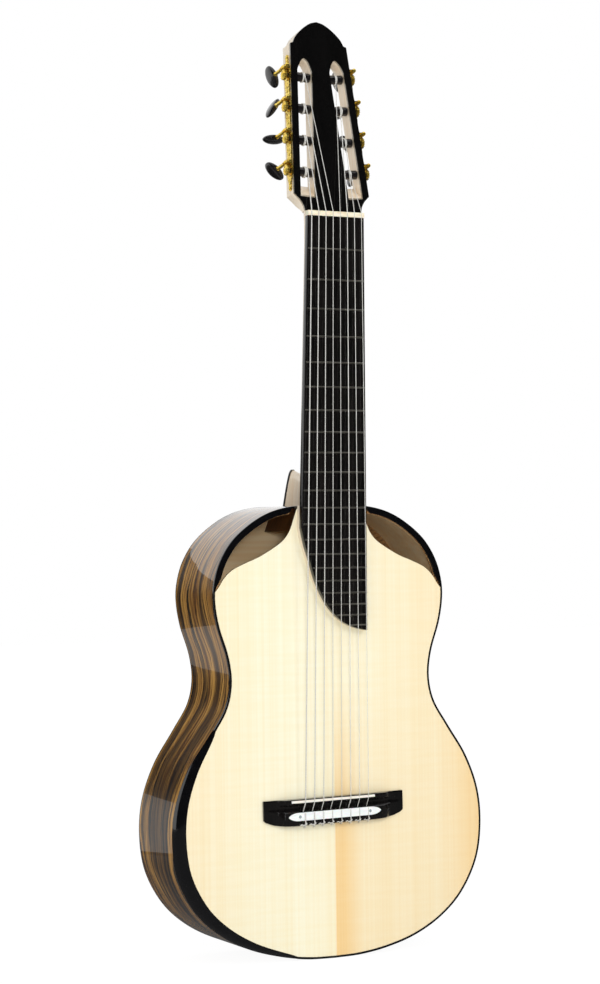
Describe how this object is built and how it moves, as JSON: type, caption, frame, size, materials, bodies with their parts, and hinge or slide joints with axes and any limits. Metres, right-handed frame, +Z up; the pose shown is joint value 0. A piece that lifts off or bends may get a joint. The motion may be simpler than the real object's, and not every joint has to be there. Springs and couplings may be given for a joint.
{
  "type": "classical guitar",
  "caption": "Eight-string classical guitar: raised fingerboard cut to a curve, twin corner sound ports, armrest bevel, slotted head with geared tuners.",
  "frame": {"origin": "on the centre line, level with the soundboard's face, at the nut's front edge, where a hanger's fork takes the neck under the head", "axes": "+Z up along the strings towards the head; the soundboard faces -Y; the highest string is on the +X side"},
  "size_m": [0.3826, 0.1376, 1.0549],
  "materials": {
    "soundboard_spruce": "satin clear lacquer over pale spruce",
    "rosewood": "high gloss over streaked dark brown rosewood",
    "ebony": "gloss black",
    "fingerboard_ebony": "polished black board; the fret crowns on it are bright silvery metal",
    "neck_wood": "satin light brown",
    "cedar": "bare wood",
    "bone": "polished cream bone",
    "white_plate": "polished white",
    "gold_metal": "polished gold plating",
    "roller_black": "polished black",
    "button_black": "polished black",
    "string_nylon": "clear smooth nylon",
    "string_wound": "silvered copper wire wound on a nylon core"
  },
  "bodies": {
    "body": {"armrest_bevel": "ebony", "back": "rosewood", "back_bars": "cedar", "back_binding": "ebony", "bridge": "ebony", "fan_braces": "soundboard_spruce", "fingerboard": "fingerboard_ebony", "fingerboard_riser": "neck_wood", "front_binding": "ebony", "head_veneer": "ebony", "headstock": "neck_wood", "heel_cap": "ebony", "lining_back_bass": "cedar", "lining_back_treble": "cedar", "lining_front_bass": "cedar", "lining_front_treble": "cedar", "machine_plate_bass": "gold_metal", "machine_plate_treble": "gold_metal", "neck": "neck_wood", "neck_block": "cedar", "nut": "bone", "saddle": "bone", "side_bass": "rosewood", "side_treble": "rosewood", "soundboard": "soundboard_spruce", "string_1": "string_nylon", "string_2": "string_nylon", "string_3": "string_nylon", "string_4": "string_wound", "string_5": "string_wound", "string_6": "string_wound", "string_7": "string_wound", "string_8": "string_wound", "tail_block": "cedar", "tie_plate": "white_plate", "transverse_bar": "soundboard_spruce"},
    "knob_bass_1": {"worm_shaft_bass_1": "gold_metal", "button_bass_1": "button_black"},
    "roller_bass_1": {"roller_bass_1": "roller_black"},
    "knob_bass_2": {"worm_shaft_bass_2": "gold_metal", "button_bass_2": "button_black"},
    "roller_bass_2": {"roller_bass_2": "roller_black"},
    "knob_bass_3": {"worm_shaft_bass_3": "gold_metal", "button_bass_3": "button_black"},
    "roller_bass_3": {"roller_bass_3": "roller_black"},
    "knob_bass_4": {"worm_shaft_bass_4": "gold_metal", "button_bass_4": "button_black"},
    "roller_bass_4": {"roller_bass_4": "roller_black"},
    "knob_treble_1": {"worm_shaft_treble_1": "gold_metal", "button_treble_1": "button_black"},
    "roller_treble_1": {"roller_treble_1": "roller_black"},
    "knob_treble_2": {"worm_shaft_treble_2": "gold_metal", "button_treble_2": "button_black"},
    "roller_treble_2": {"roller_treble_2": "roller_black"},
    "knob_treble_3": {"worm_shaft_treble_3": "gold_metal", "button_treble_3": "button_black"},
    "roller_treble_3": {"roller_treble_3": "roller_black"},
    "knob_treble_4": {"worm_shaft_treble_4": "gold_metal", "button_treble_4": "button_black"},
    "roller_treble_4": {"roller_treble_4": "roller_black"}
  },
  "joints": [
    {"name": "knob_bass_1_turn", "type": "hinge", "parent": "body", "child": "knob_bass_1", "pos_m": [-0.0497, -0.00199, 0.06067], "axis": [0, 0.9863, -0.165], "continuous": true},
    {"name": "roller_bass_1_turn", "type": "hinge", "parent": "body", "child": "roller_bass_1", "pos_m": [-0.04516, -0.00342, 0.05208], "axis": [0.9979, -0.0108, -0.0643], "continuous": true},
    {"name": "knob_bass_2_turn", "type": "hinge", "parent": "body", "child": "knob_bass_2", "pos_m": [-0.04726, 0.00417, 0.09748], "axis": [0, 0.9863, -0.165], "continuous": true},
    {"name": "roller_bass_2_turn", "type": "hinge", "parent": "body", "child": "roller_bass_2", "pos_m": [-0.04272, 0.00274, 0.08889], "axis": [0.9979, -0.0108, -0.0643], "continuous": true},
    {"name": "knob_bass_3_turn", "type": "hinge", "parent": "body", "child": "knob_bass_3", "pos_m": [-0.04483, 0.01033, 0.13429], "axis": [0, 0.9863, -0.165], "continuous": true},
    {"name": "roller_bass_3_turn", "type": "hinge", "parent": "body", "child": "roller_bass_3", "pos_m": [-0.04028, 0.0089, 0.12569], "axis": [0.9979, -0.0108, -0.0643], "continuous": true},
    {"name": "knob_bass_4_turn", "type": "hinge", "parent": "body", "child": "knob_bass_4", "pos_m": [-0.04239, 0.01649, 0.1711], "axis": [0, 0.9863, -0.165], "continuous": true},
    {"name": "roller_bass_4_turn", "type": "hinge", "parent": "body", "child": "roller_bass_4", "pos_m": [-0.03785, 0.01506, 0.1625], "axis": [0.9979, -0.0108, -0.0643], "continuous": true},
    {"name": "knob_treble_1_turn", "type": "hinge", "parent": "body", "child": "knob_treble_1", "pos_m": [0.0497, -0.00199, 0.06067], "axis": [0, 0.9863, -0.165], "continuous": true},
    {"name": "roller_treble_1_turn", "type": "hinge", "parent": "body", "child": "roller_treble_1", "pos_m": [0.04516, -0.00342, 0.05208], "axis": [0.9979, 0.0108, 0.0643], "continuous": true},
    {"name": "knob_treble_2_turn", "type": "hinge", "parent": "body", "child": "knob_treble_2", "pos_m": [0.04726, 0.00417, 0.09748], "axis": [0, 0.9863, -0.165], "continuous": true},
    {"name": "roller_treble_2_turn", "type": "hinge", "parent": "body", "child": "roller_treble_2", "pos_m": [0.04272, 0.00274, 0.08889], "axis": [0.9979, 0.0108, 0.0643], "continuous": true},
    {"name": "knob_treble_3_turn", "type": "hinge", "parent": "body", "child": "knob_treble_3", "pos_m": [0.04483, 0.01033, 0.13429], "axis": [0, 0.9863, -0.165], "continuous": true},
    {"name": "roller_treble_3_turn", "type": "hinge", "parent": "body", "child": "roller_treble_3", "pos_m": [0.04028, 0.0089, 0.12569], "axis": [0.9979, 0.0108, 0.0643], "continuous": true},
    {"name": "knob_treble_4_turn", "type": "hinge", "parent": "body", "child": "knob_treble_4", "pos_m": [0.04239, 0.01649, 0.1711], "axis": [0, 0.9863, -0.165], "continuous": true},
    {"name": "roller_treble_4_turn", "type": "hinge", "parent": "body", "child": "roller_treble_4", "pos_m": [0.03785, 0.01506, 0.1625], "axis": [0.9979, 0.0108, 0.0643], "continuous": true}
  ],
  "couplings": [
    {"joint": "roller_bass_1_turn", "follows": "knob_bass_1_turn", "ratio": 0.071429},
    {"joint": "roller_bass_2_turn", "follows": "knob_bass_2_turn", "ratio": 0.071429},
    {"joint": "roller_bass_3_turn", "follows": "knob_bass_3_turn", "ratio": 0.071429},
    {"joint": "roller_bass_4_turn", "follows": "knob_bass_4_turn", "ratio": 0.071429},
    {"joint": "roller_treble_1_turn", "follows": "knob_treble_1_turn", "ratio": 0.071429},
    {"joint": "roller_treble_2_turn", "follows": "knob_treble_2_turn", "ratio": 0.071429},
    {"joint": "roller_treble_3_turn", "follows": "knob_treble_3_turn", "ratio": 0.071429},
    {"joint": "roller_treble_4_turn", "follows": "knob_treble_4_turn", "ratio": 0.071429}
  ]
}
